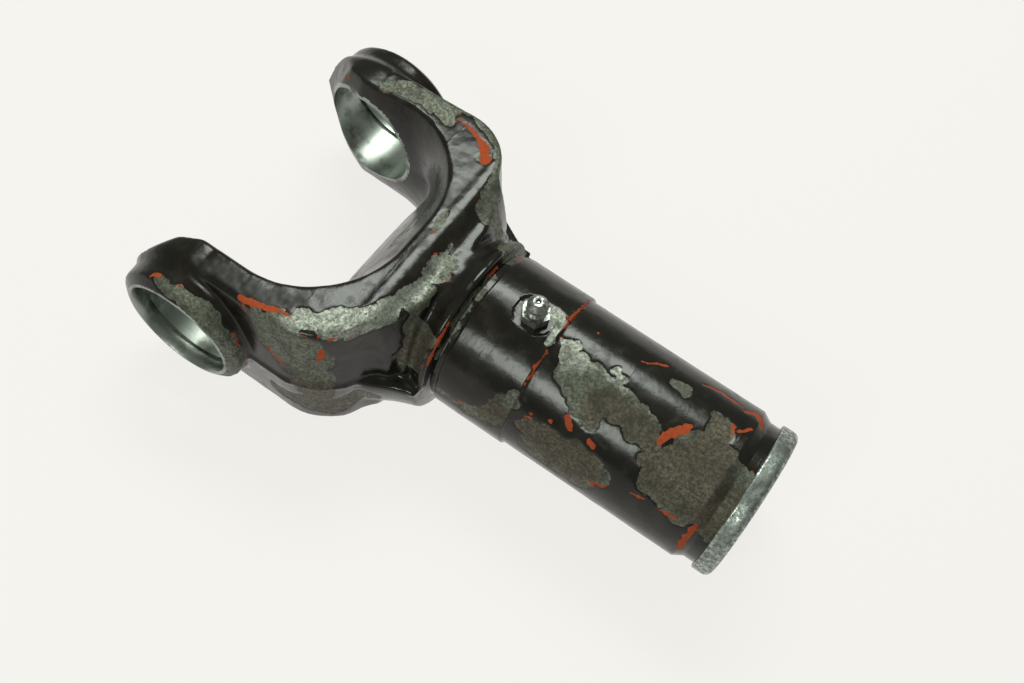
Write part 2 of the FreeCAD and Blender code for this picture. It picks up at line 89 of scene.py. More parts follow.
TEETH = 16
TOOTH_TIP = 17.2
SPACE_BOTTOM = 19.2
SPACE_WIDTH = 3.7
TEETH_START = 58.0
BORE_BOTTOM = 50.0

FITTING_X = 87.6
SEAT_HEIGHT = 25.3
SEAT_RADIUS = 6.6

CAP_START = 163.7
CAP_END = 169.4
CAP_RADIUS = 24.8
CAP_CORNER = 2.2
CAP_WALL = 1.4
CAP_WINDOW = 20.4

# where the fork's skin meets the sleeve's skin, hidden in the run-out groove
SEAM_X = 70.5
SOCKET_RADIUS = 21.0

# the bores of the ears are looked for beyond this y
EAR_INSIDE = 25.0

# how fine the skins are, and how long the fork's is smoothed
VOXEL = 0.66
SKIN_STEP = 0.5
SMOOTHING_PASSES = 9

# thickness of the paint that a chip takes away
FORK_PAINT = 0.16
SLEEVE_PAINT = 0.15

# ---------------------------------------------------------------- wear, in millimetres


def around(radius, *places):
    """Stroke points (x, degrees from +z towards +y, width) laid on a round of that radius."""
    return [
        (x, radius * math.sin(math.radians(a)), radius * math.cos(math.radians(a)), w)
        for x, a, w in places
    ]


def on_sleeve(*places):
    return around(SLEEVE_RADIUS, *places)


def on_land(*places):
    return around(LAND_RADIUS, *places)


# Each stroke is a chain of points (x, y, z, half width). Paint and primer are gone inside.
BARE = [
    # fork, near arm
    [(-6, -54, 21, 2), (5, -55, 20, 3.5), (10, -55, 18, 4), (15, -55, 14, 4), (18, -56, 8, 4)],
    [(18, -56, 8, 4), (20, -56, 0, 4), (17, -57, -9, 4)],
    [(25, -47, 24, 2.5), (30, -47, 23, 5), (38, -46, 21, 7), (43, -46, 14, 6.5)],
    [(38, -47, 14, 6), (43, -47, 6, 6), (44, -47, -4, 6)],
    [(27, -48, 22, 4.5), (33, -48, 16, 6), (38, -48, 9, 5)],
    [(31, -49, -15, 4), (39, -48, -14, 6), (48, -42, -16, 7), (55, -36, -10, 5)],
    [(36, -42, 28, 2.5), (43, -39, 28, 4.5), (49, -35, 28, 4.5), (54, -27, 27, 3)],
    [(54, -27, 27, 3), (55, -18, 27, 2.4), (56, -10, 27, 2.2), (56, -2, 27, 2), (55, 4, 27, 1.3)],
    [(59, -19, 25, 3), (59, -12, 26, 2.5)],
    [(60, -22, 20, 3.5), (64, -22, 16, 4.5), (63, -25, 9, 5)],
    [(57, -1, 26, 2), (60, -2, 26, 2), (58, -5, 26, 2)],
    # throat
    [(39, -2, 19, 1.8), (39, 3, 18.5, 2.4), (39, 7, 18, 1.6)],
    [(49, 5, 28, 1.6), (48, 9, 28, 1.8)],
    # fork, far arm
    [(3, 40, 25, 1.8), (10, 43, 25, 3.5), (18, 44, 26, 4.5), (25, 44, 26, 4.5), (29, 40, 27, 2)],
    [(25, 48, 26, 3), (33, 48, 26, 2.5), (40, 46, 27, 2.8), (46, 42, 28, 2.4), (51, 35, 29, 2.4)],
    [(51, 35, 29, 2.4), (54, 28, 27, 3.6), (57, 20, 26, 4), (61, 22, 18, 3)],
    # collar
    around(27, (69, 29, 3), (69, 54, 4), (69, 80, 5)),
    around(25.5, (70, 9, 1), (70, -10, 1.4), (70, -30, 1.5), (70, -60, 1)),
    # land
    on_land((92, 10, 1.8), (94.5, 6, 2.2), (95.6, -2, 1.4), (96, -12, 1.3)),
    on_land((95, -50, 1.4), (94, -60, 3.6), (92, -76, 4.5), (87, -86, 3), (81, -88, 2)),
    on_land((75, -88, 2)),
    # sleeve
    on_sleeve((101.5, -6, 3), (105, -14, 5.5), (112, -21, 7.3), (118, -20, 6.5)),
    on_sleeve((118, -20, 6.5), (126, -20, 4.8), (131, -25, 5), (133, -25, 4)),
    on_sleeve((112, -30, 4), (117, -38, 3.4)),
    on_sleeve((116, -1, 1.4), (118.5, -4, 1.4)),
    on_sleeve((131, 16, 1.8), (135, 15, 2.4)),
    on_sleeve((104, -68, 4), (112, -70, 5.5), (120, -68, 5.5), (127, -68, 4)),
    on_sleeve((106, -84, 5), (122, -84, 5)),
    on_sleeve((139, -38, 4.5), (146, -36, 8.5), (154, -32, 9)),
    on_sleeve((142, -50, 5), (152, -52, 6)),
    on_sleeve((146, -18, 6), (154, -16, 6)),
    on_sleeve((157, -40, 7), (160, -40, 8), (162, -56, 5)),
    on_sleeve((156, -14, 5), (160, -22, 7), (161, -36, 8)),
    on_sleeve((147, 11, 2.4), (149, 4, 4.5)),
]

# The orange primer shows inside these.
PRIMER = [
    [(18, -47, 26, 0.9), (22, -46, 26, 1.1), (26, -45, 26, 1), (30, -44, 27, 0.8), (34, -43, 27, 0.3)],
    [(20, -48, 25, 0.8), (22, -49, 19, 0.4), (25, -50, 14, 0.7), (30, -50, 11, 0.9), (35, -49, 7, 0.6)],
    [(48, -40, 26, 0.4), (46, -42, 26, 0.7)],
    [(45, -44, 20, 1.3), (45, -46, 13, 0.5)],
    [(46, -46, 7, 1)],
    [(29, 43, 27, 0.4), (34, 42, 27, 0.6), (39, 40, 27, 0.8), (43, 38, 28, 1.5), (46, 34, 28, 1.7)],
    [(-9, -54, 20, 0.6), (-6, -53, 21, 0.8)],
    [(-11, 40, 18, 1)],
    around(COLLAR_RADIUS, (COLLAR_X, -34, 0.5), (COLLAR_X, -48, 0.9), (COLLAR_X, -66, 0.7)),
    around(25.6, (69.6, 16, 0.7), (69.6, 4, 0.5)),
    on_land((96.8, 44, 0.5), (96.8, 26, 0.6), (96.8, 12, 0.8)),
    on_land((96.8, -16, 0.5), (96.8, -28, 0.7), (96.8, -42, 0.5)),
    on_land((97, -66, 0.5)),
    on_sleeve((108, -54, 0.8)),
    on_sleeve((112, -45, 1.2), (114, -51, 0.9)),
    on_sleeve((120, -49, 0.8), (122, -52, 1)),
    on_sleeve((105, 17, 0.5)),
    on_sleeve((102, -57, 0.5)),
    on_sleeve((120, 16, 0.2), (123, 21, 0.5), (127, 27, 0.5)),
    on_sleeve((138, 32, 0.3), (143, 36, 0.5), (150, 35, 0.5)),
    on_sleeve((137, -25, 1), (138, -16, 1.2), (141, -8, 1.5), (142, -5, 0.6)),
    on_sleeve((138, -66, 0.3), (142, -64, 0.4), (146, -64, 0.3), (149, -63, 0.5), (153, -62, 0.4)),
    on_sleeve((158, -58, 1), (157.5, -72, 1.2), (158, -88, 1)),
    on_sleeve((152, 31, 0.7), (155, 37, 1), (158, 31, 1.2), (160, 21, 1)),
    on_sleeve((156, 18, 0.6), (153, 9, 0.3)),
]

# The bare steel is clean and lighter inside these, on upward faces, where the lighter colour is partly a
# painted highlight; it is brown with rust elsewhere.
CLEAN_AND_LIT = [
    [(36, -42, 28, 4), (49, -35, 28, 5), (55, -20, 27, 3), (55, 4, 27, 3)],
    [(39, -2, 19, 4), (39, 7, 18, 4)],
    on_land((92, 10, 4), (96, -12, 4)),
    on_sleeve((101.5, -5, 6), (104, -8, 5)),
    on_sleeve((116, -1, 3), (118.5, -4, 3)),
    on_sleeve((131, -12, 1)),
]

# The steel under these is brown all through: rust, and on the fork's lower near arm also painted shade.
BROWN_AND_SHADED = [
    on_sleeve((118, -28, 5), (130, -22, 4)),
    on_sleeve((140, -36, 9), (152, -30, 9), (148, 8, 4)),
    on_sleeve((105, -70, 8), (118, -70, 9)),
    on_sleeve((158, -40, 9), (163, -50, 8)),
    [(63, -24, 12, 7)],
    [(44, -46, -8, 12), (60, -30, -8, 10)],
    [(31, -49, -15, 8), (48, -42, -16, 12), (58, -34, -8, 9)],
    on_land((92, -76, 6)),
]


# The paint over these is pitted and rough.
PITTED = [
    [(-1, -44, 24, 1.5), (10, -43, 25, 3), (21, -43, 26, 3), (33, -38, 27, 2)],
    [(3, 40, 25, 3), (18, 44, 26, 5)],
]


def noise(points, size, seed):
    """Smooth random field, about -1 to 1, whose bumps are about as large as size."""
    random = np.random.default_rng(seed)
    slopes = random.normal(size=(256, 3))
    slopes /= np.linalg.norm(slopes, axis=1, keepdims=True)
    order = random.permutation(256)
    scaled = points / size
    cell = np.floor(scaled).astype(int)
    inside = scaled - cell
    fade = inside**3 * (inside * (inside * 6 - 15) + 10)
    total = np.zeros(len(points))
    for corner in itertools.product((0, 1), repeat=3):
        at = cell + corner
        pick = order[(order[(order[at[:, 0] & 255] + at[:, 1]) & 255] + at[:, 2]) & 255]
        weight = np.prod(np.where(corner, fade, 1 - fade), axis=1)
        total += weight * np.einsum("ij,ij->i", slopes[pick], inside - corner)
    return total * 1.6


def grain(points, size, octaves, seed):
    """Noise with finer noise on top, each octave half as large and half as strong."""
    return sum(noise(points, size / 2**k, seed + k) / 2**k for k in range(octaves))


def warped(points, amount, size, seed):
    """The points pushed about by noise, so that a stroke's outline turns ragged."""
    pushes = [grain(points, size, 2, seed + 10 * axis) for axis in range(3)]
    return points + amount * np.stack(pushes, axis=1)


def depth_in(points, strokes):
    """How far inside the strokes each point lies; negative outside them."""
    best = np.full(len(points), -99.0)
    for stroke in strokes:
        for start, end in zip(stroke, stroke[1:] or stroke):
            a, b = np.array(start[:3]), np.array(end[:3])
            run = b - a
            share = np.clip((points - a) @ run / max(run @ run, 1e-9), 0, 1)
            width = start[3] + (end[3] - start[3]) * share
            distance = np.linalg.norm(points - a - share[:, None] * run, axis=1)
            best = np.maximum(best, width - distance)
    return best


def step(value, low, high):
    """Smooth rise from 0 below low to 1 above high."""
    t = np.clip((value - low) / (high - low), 0, 1)
    return t * t * (3 - 2 * t)


def wear(points):
    """The wear fields at the points: steel and primer in millimetres inside their patches."""
    ragged = warped(points, 1.5, 5.0, 11)
    steel = depth_in(ragged, BARE)
    steel += 0.5 * grain(points, 2.4, 2, 41)
    # scattered small chips away from the large ones
    spots = noise(points, 4.2, 51) + 0.6 * noise(points, 13, 52)
    steel = np.maximum(steel, 6 * (spots - 1.12))
    lines = depth_in(warped(points, 0.5, 3.0, 61), PRIMER)
    lines += 0.25 * grain(points, 1.6, 2, 71)
    rim_width = 0.9 * noise(points, 7, 81) - 0.25
    rim = rim_width - np.abs(steel + 0.2)
    return {
        "steel": np.clip(steel, -4, 4),
        "primer": np.clip(np.maximum(lines, rim), -3, 3),
        # clean steel whose lighter colour is partly a painted highlight on upward faces
        "clean_and_lit": step(depth_in(ragged, CLEAN_AND_LIT), -3, 2),
        # brown rust, on the fork's lower near arm also painted shade
        "brown": step(depth_in(ragged, BROWN_AND_SHADED), -4, 3),
        "pitted": step(depth_in(ragged, PITTED), -1.5, 1.5),
    }


def paint_loss(fields):
    """Share of the paint's thickness that is gone."""
    gone = step(fields["steel"], -0.35, 0.25)
    return np.maximum(gone, 0.5 * step(fields["primer"], -0.3, 0.2))


# ---------------------------------------------------------------- meshes


def mesh_of(name, vertices, faces):
    mesh = bpy.data.meshes.new(name)
    mesh.from_pydata(vertices, [], faces)
    mesh.validate()
    mesh.update()
    return mesh


def object_of(name, mesh):
    made = bpy.data.objects.new(name, mesh)
    bpy.context.scene.collection.objects.link(made)
    return made


def read(mesh, what="co"):
    """Vertex places or normals as an array of rows."""
    values = np.empty(len(mesh.vertices) * 3)
    if what == "co":
        mesh.vertices.foreach_get("co", values)
    else:
        mesh.vertex_normals.foreach_get("vector", values)
    return values.reshape(-1, 3)


def write(mesh, places):
    mesh.vertices.foreach_set("co", np.ascontiguousarray(places, dtype=np.float32).ravel())
    mesh.update()


def face_centres(mesh):
    values = np.empty(len(mesh.polygons) * 3)
    mesh.polygons.foreach_get("center", values)
    return values.reshape(-1, 3)


def stations(corners, spacing):
    """Points along a run of corners, no further apart than the spacing."""
    points = [corners[0]]
    for (x0, r0), (x1, r1) in zip(corners, corners[1:]):
        count = max(1, math.ceil(math.hypot(x1 - x0, r1 - r0) / spacing))
        points += [(x0 + (x1 - x0) * k / count, r0 + (r1 - r0) * k / count) for k in range(1, count + 1)]
    return points


def ring_faces(rows, columns, closed):
    """Quads between neighbouring rings; closed also joins the last ring to the first."""
    faces = []
    for i in range(rows if closed else rows - 1):
        low, high = i * columns, (i + 1) % rows * columns
        for j in range(columns):
            k = (j + 1) % columns
            faces.append((low + j, low + k, high + k, high + j))
    return faces


def even_angles(columns):
    return np.linspace(0, 2 * math.pi, columns, endpoint=False)


def about_x(along, radii, angles):
    """A ring of points round the x axis."""
    still = np.full_like(angles, along)
    return np.stack([still, radii * np.sin(angles), radii * np.cos(angles)], axis=1)


def about_y(along, radii, angles):
    """A ring of points round the y axis."""
    still = np.full_like(angles, along)
    return np.stack([radii * np.cos(angles), still, radii * np.sin(angles)], axis=1)


def turned_ring(name, profile, columns, spacing):
    """A ring turned about x, from a closed outline of (x, radius) corners."""
    outline = stations(profile + profile[:1], spacing)[:-1]
    angles = even_angles(columns)
    rings = [about_x(x, np.full(columns, r), angles) for x, r in outline]
    faces = ring_faces(len(rings), columns, closed=True)
    return mesh_of(name, np.concatenate(rings), faces)


def solid_through(name, rings, columns):
    """A closed solid through rings of points, with flat ends."""
    faces = ring_faces(len(rings), columns, closed=False)
    last = (len(rings) - 1) * columns
    faces.append(tuple(reversed(range(columns))))
    faces.append(tuple(range(last, last + columns)))
    mesh = mesh_of(name, np.concatenate(rings), faces)
    outward(mesh)
    return mesh


def cutter(name, profile, columns, lay):
    """A closed solid of revolution from (along, radius) corners, with flat ends."""
    angles = even_angles(columns)
    rings = [lay(along, np.full(columns, radius), angles) for along, radius in profile]
    return object_of(name, solid_through(name, rings, columns))


def outward(mesh):
    """Turns every face outward."""
    shape = bmesh.new()
    shape.from_mesh(mesh)
    bmesh.ops.recalc_face_normals(shape, faces=shape.faces)
    shape.to_mesh(mesh)
    shape.free()


def applied(item):
    """The object's mesh with its modifiers applied; the object itself is removed."""
    graph = bpy.context.evaluated_depsgraph_get()
    mesh = bpy.data.meshes.new_from_object(item.evaluated_get(graph))
    bpy.data.objects.remove(item)
    return mesh


def keep(name, mesh, materials, node, machined=None):
    """Finishes a piece: wear fields, metres, smooth shading, materials, body and CAD node."""
    places = read(mesh)
    for label, values in wear(places).items():
        field = mesh.attributes.new(label, "FLOAT", "POINT")
        field.data.foreach_set("value", values.astype(np.float32))
    write(mesh, places * MM)
    mesh.polygons.foreach_set("use_smooth", np.ones(len(mesh.polygons), dtype=bool))
    mesh.set_sharp_from_angle(angle=math.radians(50))
    mesh.materials.clear()
    for material in materials:
        mesh.materials.append(material)
    if machined is not None:
        mesh.polygons.foreach_set("material_index", machined.astype(np.int32))
    piece = object_of(name, mesh)
    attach(piece, "root")
    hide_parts(node)
    return piece


# ---------------------------------------------------------------- the fork


def fork_blank():
    """The CAD fork without its bores, cut off at the seam and closed."""
    shape = bmesh.new()
    shape.from_mesh(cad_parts["yoke"].data)
    bmesh.ops.scale(shape, vec=(1 / MM,) * 3, verts=shape.verts)
    bmesh.ops.remove_doubles(shape, verts=shape.verts, dist=0.001)

    def in_a_bore(face):
        cross = all(math.hypot(v.co.x, v.co.z) < BORE + RING_GROOVE_DEPTH + 0.05 for v in face.verts)
        socket = all(math.hypot(v.co.y, v.co.z) < SPACE_BOTTOM + 0.9 for v in face.verts)
        corner = face.verts[0].co
        in_an_ear = abs(corner.y) > EAR_INSIDE
        return (cross and in_an_ear) or (socket and corner.x > BORE_BOTTOM - 1)

    bmesh.ops.delete(shape, geom=[f for f in shape.faces if in_a_bore(f)], context="FACES")
    everything = shape.verts[:] + shape.edges[:] + shape.faces[:]
    bmesh.ops.bisect_plane(
        shape, geom=everything, dist=1e-4, plane_co=(SEAM_X, 0, 0), plane_no=(1, 0, 0), clear_outer=True
    )
    rims = [edge for edge in shape.edges if edge.is_boundary]
    bmesh.ops.edgeloop_fill(shape, edges=rims)
    bmesh.ops.triangulate(shape, faces=shape.faces)
    mesh = bpy.data.meshes.new("fork_blank")
    shape.to_mesh(mesh)
    shape.free()
    return mesh


def lower_neck():
    """The full corners between shoulders and collar, below the parting plane."""
    columns = 96
    angles = even_angles(columns)
    flat = NECK_HALF_HEIGHT / np.maximum(np.abs(np.cos(angles)), 0.01)
    reach = [(50.0, 38.0), (54.0, 38.0), (NECK_START, NECK_REACH), (COLLAR_END - 0.4, NECK_END_REACH)]
    rings = []
    for x, radius in stations(reach, 1.0):
        below = np.minimum(flat, radius)
        rings.append(about_x(x, np.where(np.cos(angles) < 0.02, below, NECK_INSIDE), angles))
    return solid_through("lower_neck", rings, columns)


def joined(first, second):
    """Both meshes in one; the remesh makes one skin of them."""
    shape = bmesh.new()
    shape.from_mesh(first)
    shape.from_mesh(second)
    shape.to_mesh(first)
    shape.free()
    return first


def forged(mesh):
    """An even mesh of the blank with the soft edges of a forging."""
    item = object_of("fork_work", mesh)
    remesh = item.modifiers.new("remesh", "REMESH")
    remesh.mode = "VOXEL"
    remesh.voxel_size = VOXEL
    smooth = item.modifiers.new("smooth", "SMOOTH")
    smooth.factor = 0.5
    smooth.iterations = SMOOTHING_PASSES
    return applied(item)


def forged_surface(mesh):
    """Lumps and scale of the forging, runs in the paint, and the hollows of lost paint."""
    places, normals = read(mesh), read(mesh, "normal")
    fields = wear(places)
    lost = paint_loss(fields)
    lumps = 0.20 * noise(places, 20, 101) + 0.03 * noise(places, 9, 102)
    scale = (0.03 + 0.03 * lost) * grain(places, 2.6, 2, 111)
    scale += 0.11 * fields["pitted"] * noise(places, 1.7, 161)
    paint = 0.05 * noise(places, 6.0, 121)
    from_axis = np.hypot(places[:, 0], places[:, 2])
    on_face = step(np.abs(places[:, 1]), FACE_HALF - 1.2, FACE_HALF - 0.4)
    by_bore = on_face * step(-from_axis, -20.5, -19.0)
    by_seam = step(places[:, 0], SEAM_X - 3.5, SEAM_X - 1.2)
    offset = (lumps + paint * (1 - lost) + scale) * (1 - by_bore) * (1 - by_seam) - FORK_PAINT * lost
    write(mesh, places + offset[:, None] * normals)
    return mesh


def cross_bore_cutter():
    groove_end = LOCKUP_HALF - RING_GROOVE_WIDTH
    half = [
        (groove_end, BORE),
        (groove_end, BORE + RING_GROOVE_DEPTH),
        (LOCKUP_HALF, BORE + RING_GROOVE_DEPTH),
        (LOCKUP_HALF, BORE),
        (FACE_HALF - BORE_CHAMFER, BORE),
        (FACE_HALF + 1, BORE + BORE_CHAMFER + 1),
    ]
    profile = [(-along, radius) for along, radius in reversed(half)] + half
    return cutter("cross_bore", profile, 180, about_y)


def socket_cutter():
    profile = [
        (BORE_BOTTOM, SPACE_BOTTOM),
        (TEETH_START - 0.1, SPACE_BOTTOM),
        (TEETH_START - 0.1, SOCKET_RADIUS),
        (SEAM_X + 5, SOCKET_RADIUS),
    ]
    return cutter("socket", profile, 128, about_x)


def carved(mesh, *tools):
    """The mesh with the machining tools' shapes cut out of it."""
    item = object_of("carved", mesh)
    for tool in tools:
        cut = item.modifiers.new(tool.name, "BOOLEAN")
        cut.operation = "DIFFERENCE"
        cut.solver = "MANIFOLD"
        cut.object = tool
    result = applied(item)
    for tool in tools:
        bpy.data.objects.remove(tool)
    return result


def make_fork(coated, machined):
    mesh = forged_surface(forged(joined(fork_blank(), lower_neck())))
    mesh = carved(mesh, cross_bore_cutter(), socket_cutter())
    centres = face_centres(mesh)
    in_cross = np.hypot(centres[:, 0], centres[:, 2]) < BORE + RING_GROOVE_DEPTH + 0.02
    in_cross &= np.abs(centres[:, 1]) < FACE_HALF + 0.5
    in_socket = np.hypot(centres[:, 1], centres[:, 2]) < SOCKET_RADIUS + 0.02
    in_socket &= centres[:, 0] > BORE_BOTTOM - 0.02
    cut = (in_cross & (np.abs(centres[:, 1]) > EAR_INSIDE)) | in_socket
    return keep("fork_skin", mesh, [coated, machined], "yoke", cut)


# ---------------------------------------------------------------- the sleeve


def tooth_angles():
    """Angles round the sleeve, with a pair at every flank of the teeth."""
    pitch = 2 * math.pi / TEETH
    bottom = math.asin(SPACE_WIDTH / 2 / SPACE_BOTTOM)
    flank = math.asin(SPACE_WIDTH / 2 / TOOTH_TIP)
    one = list(np.linspace(-bottom, bottom, 11)) + list(np.linspace(flank, pitch - flank, 11))
    deep = [True] * 11 + [False] * 11
    angles = np.concatenate([np.array(one) + pitch * k for k in range(TEETH)])
    return angles, np.where(np.tile(deep, TEETH), SPACE_BOTTOM, TOOTH_TIP)


def make_sleeve(coated, machined):
    outer = stations(
        [
            (SEAM_X - 0.2, RUNOUT_RADIUS - 0.06),
            (LAND_START - 0.1, RUNOUT_RADIUS),
            (LAND_START + 0.1, LAND_RADIUS - 0.3),
            (LAND_START + 0.4, LAND_RADIUS),
            (LAND_END - 0.35, LAND_RADIUS),
            (LAND_END, LAND_RADIUS - 0.2),
            (LAND_END + 0.15, SLEEVE_RADIUS + 0.15),
            (LAND_END + 0.5, SLEEVE_RADIUS),
            (SLEEVE_END, SLEEVE_RADIUS),
            (SLEEVE_END + END_CHAMFER, SPIGOT_RADIUS),
            (MOUTH_X - 0.4, SPIGOT_RADIUS),
            (MOUTH_X, SPIGOT_RADIUS - 0.4),
        ],
        SKIN_STEP,
    )
    angles, teeth = tooth_angles()
    rings = [about_x(x, np.full(len(angles), r), angles) for x, r in outer]
    rings.append(about_x(MOUTH_X, np.full(len(angles), SPACE_BOTTOM + 0.3), angles))
    lead_in = np.maximum(teeth, TOOTH_TIP + 1.0)
    rings.append(about_x(MOUTH_X - 1.0, lead_in, angles))
    for x in np.linspace(MOUTH_X - 2.0, TEETH_START, 28):
        rings.append(about_x(x, teeth, angles))
    for x in (TEETH_START, SEAM_X - 0.2):
        rings.append(about_x(x, np.full(len(angles), SOCKET_RADIUS - 0.05), angles))
    columns = len(angles)
    faces = ring_faces(len(rings), columns, closed=True)
    mesh = mesh_of("sleeve", np.concatenate(rings), faces)
    outward(mesh)
    mesh = sleeve_surface(mesh, len(outer) * columns)
    inner = np.arange(len(mesh.polygons)) >= (len(outer) - 1) * columns
    return keep("sleeve_skin", mesh, [coated, machined], "yoke", inner)


def sleeve_surface(mesh, outer_count):
    """Waves in the paint and the hollows of lost paint, on the outside."""
    places = read(mesh)
    radius = np.hypot(places[:, 1], places[:, 2])
    outside = np.arange(len(places)) < outer_count
    lost = paint_loss(wear(places))
    waves = 0.05 * grain(places * (0.6, 1, 1), 7, 2, 131) * (1 - lost)
    pits = -0.10 * lost * step(noise(places, 1.5, 141), 0.1, 0.7)
    hidden = step(-places[:, 0], -SEAM_X - 1.2, -SEAM_X - 0.4)
    offset = (waves + pits - SLEEVE_PAINT * lost) * outside * (1 - hidden)
    height = places[:, 2]
    on_seat = np.hypot(places[:, 0] - FITTING_X, places[:, 1]) < SEAT_RADIUS
    grown = places * np.stack([np.ones_like(radius), 1 + offset / radius, 1 + offset / radius], axis=1)
    seat = on_seat & (height > 0) & outside
    grown[seat, 2] = np.minimum(grown[seat, 2], SEAT_HEIGHT)
    write(mesh, grown)
    return mesh


# ---------------------------------------------------------------- the seal's cap


def make_cap(plated):
    start, end, wall = CAP_START, CAP_END, CAP_WALL
    quarter = [math.radians(a) for a in (0, 18, 36, 54, 72, 90)]
    corner_x, corner_r = end - CAP_CORNER, CAP_RADIUS - CAP_CORNER
    bend = [(corner_x + CAP_CORNER * math.sin(a), corner_r + CAP_CORNER * math.cos(a)) for a in quarter]
    profile = [
        (start, CAP_RADIUS - wall),
        (start, CAP_RADIUS - 0.3),
        (start + 0.3, CAP_RADIUS),
        *bend,
        (end, CAP_WINDOW + 0.3),
        (end - 0.3, CAP_WINDOW),
        (end - wall, CAP_WINDOW),
        (end - wall, CAP_RADIUS - wall),
    ]
    mesh = turned_ring("seal_cap", profile, 300, 0.6)
    outward(mesh)
    places = read(mesh)
    radius = np.hypot(places[:, 1], places[:, 2])
    dents = -0.12 * step(noise(places, 3.5, 151), 0.25, 0.7) + 0.05 * noise(places, 9, 152)
    outside = step(radius, CAP_RADIUS - 0.8, CAP_RADIUS - 0.2)
    share = 1 + dents * outside / radius
    write(mesh, places * np.stack([np.ones_like(share), share, share], axis=1))
    return keep("cap_skin", mesh, [plated], "seal_cap")


# ---------------------------------------------------------------- materials


class Nodes:
    """Short calls for building a material's node tree."""

    def __init__(self, name):
        self.material = bpy.data.materials.new(name)
        self.material.use_nodes = True
        self.tree = self.material.node_tree
        self.tree.nodes.clear()
        self.place = self.add("ShaderNodeTexCoord").outputs["Object"]

    def add(self, kind, inputs=None, **settings):
        node = self.tree.nodes.new(kind)
        for key, value in settings.items():
            setattr(node, key, value)
        for key, value in (inputs or {}).items():
            self.feed(node.inputs[key], value)
        return node

    def feed(self, socket, value):
        if isinstance(value, bpy.types.NodeSocket):
            self.tree.links.new(value, socket)
        else:
            socket.default_value = value

    def field(self, name):
        return self.add("ShaderNodeAttribute", attribute_name=name).outputs["Fac"]

    def math(self, operation, *values, clamp=False):
        node = self.add("ShaderNodeMath", operation=operation, use_clamp=clamp)
        for socket, value in zip(node.inputs, values):
            self.feed(socket, value)
        return node.outputs[0]

    def noise(self, size, detail=3.0, stretch=None, roughness=0.55):
        """Noise about 0.5, with features about size millimetres large."""
        where = self.place
        if stretch:
            where = self.add("ShaderNodeMapping", {"Vector": where, "Scale": stretch}).outputs[0]
        wanted = {"Vector": where, "Scale": 1 / (size * MM), "Detail": detail, "Roughness": roughness}
        return self.add("ShaderNodeTexNoise", wanted).outputs["Fac"]

    def ramp(self, value, low, high, start=0.0, end=1.0):
        """Smooth rise from start to end as the value goes from low to high."""
        wanted = {"Value": value, "From Min": low, "From Max": high, "To Min": start, "To Max": end}
        return self.add("ShaderNodeMapRange", wanted, interpolation_type="SMOOTHSTEP").outputs[0]

    def mix(self, share, first, second):
        node = self.add("ShaderNodeMix", data_type="RGBA")
        self.feed(node.inputs[0], share)
        self.feed(node.inputs[6], first)
        self.feed(node.inputs[7], second)
        return node.outputs[2]

    def bump(self, height, distance, strength=1.0, normal=None):
        wanted = {"Height": height, "Distance": distance * MM, "Strength": strength}
        if normal is not None:
            wanted["Normal"] = normal
        return self.add("ShaderNodeBump", wanted).outputs[0]

    def shader(self, **inputs):
        return self.add("ShaderNodeBsdfPrincipled", inputs).outputs[0]

    def blend(self, share, first, second):
        node = self.add("ShaderNodeMixShader")
        for socket, value in zip(node.inputs, (share, first, second)):
            self.feed(socket, value)
        return node.outputs[0]

    def done(self, surface):
        out = self.add("ShaderNodeOutputMaterial")
        self.tree.links.new(surface, out.inputs["Surface"])
        return self.material


def rgb(red, green, blue):
    return (red, green, blue, 1.0)


